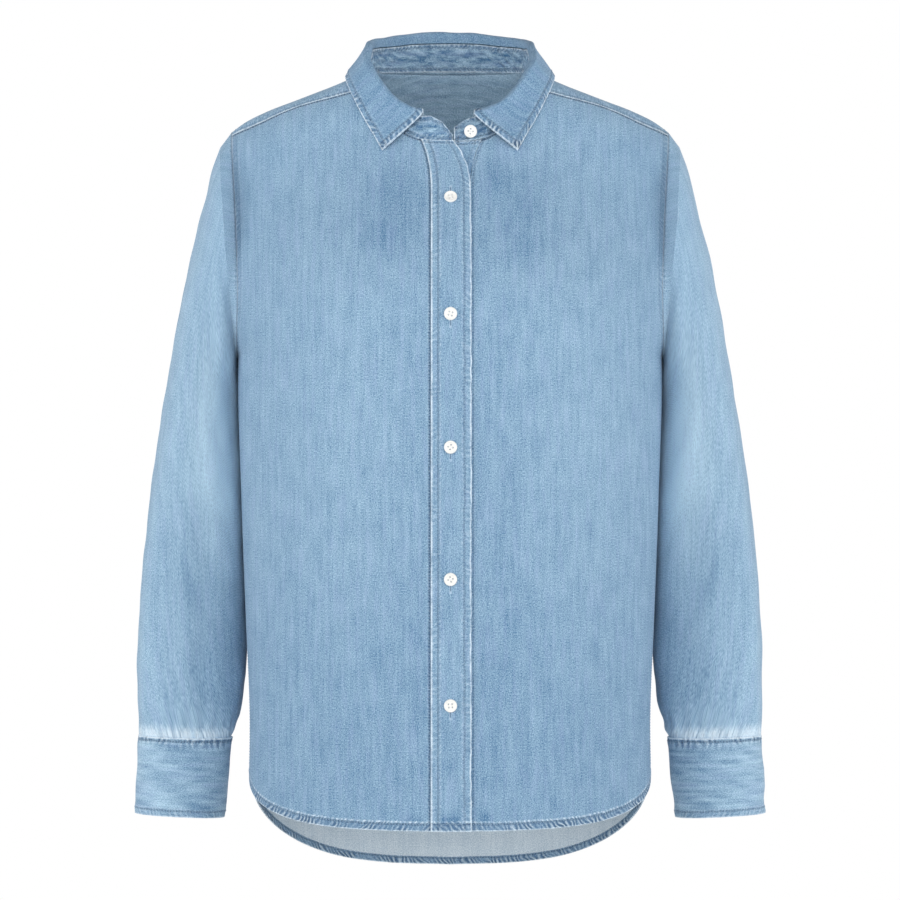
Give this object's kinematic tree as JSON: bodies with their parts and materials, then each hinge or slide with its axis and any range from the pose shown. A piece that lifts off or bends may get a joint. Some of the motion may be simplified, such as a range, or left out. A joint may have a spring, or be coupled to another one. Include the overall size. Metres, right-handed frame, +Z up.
{
  "type": "denim shirt",
  "caption": "Long-sleeved button-front denim shirt with a collar, yoke, cuffs and curved hem, filled out and hollow, ready to go on a figure",
  "frame": {"origin": "the middle of the neck at the height where the shoulders meet the collar, where the wearer holds the shirt up", "axes": "x to the wearer's left, -y to the front, z up"},
  "size_m": [0.5712, 0.2492, 0.7678],
  "materials": {
    "denim": "washed light blue denim, soft and matte",
    "denim_reverse": "paler reverse side of the denim, matte",
    "button": "white, softly polished"
  },
  "bodies": {
    "root": {"front_right": "denim", "front_left": "denim", "placket": "denim", "under_placket": "denim", "back": "denim", "yoke": "denim", "yoke_lining": "denim_reverse", "sleeve_right": "denim", "sleeve_left": "denim", "cuff_right": "denim", "cuff_left": "denim", "collar_stand": "denim", "collar_leaf": "denim", "button_1": "button", "button_2": "button", "button_3": "button", "button_4": "button", "button_5": "button", "stand_button": "button", "cuff_button_right": "button", "cuff_button_left": "button"}
  },
  "joints": []
}
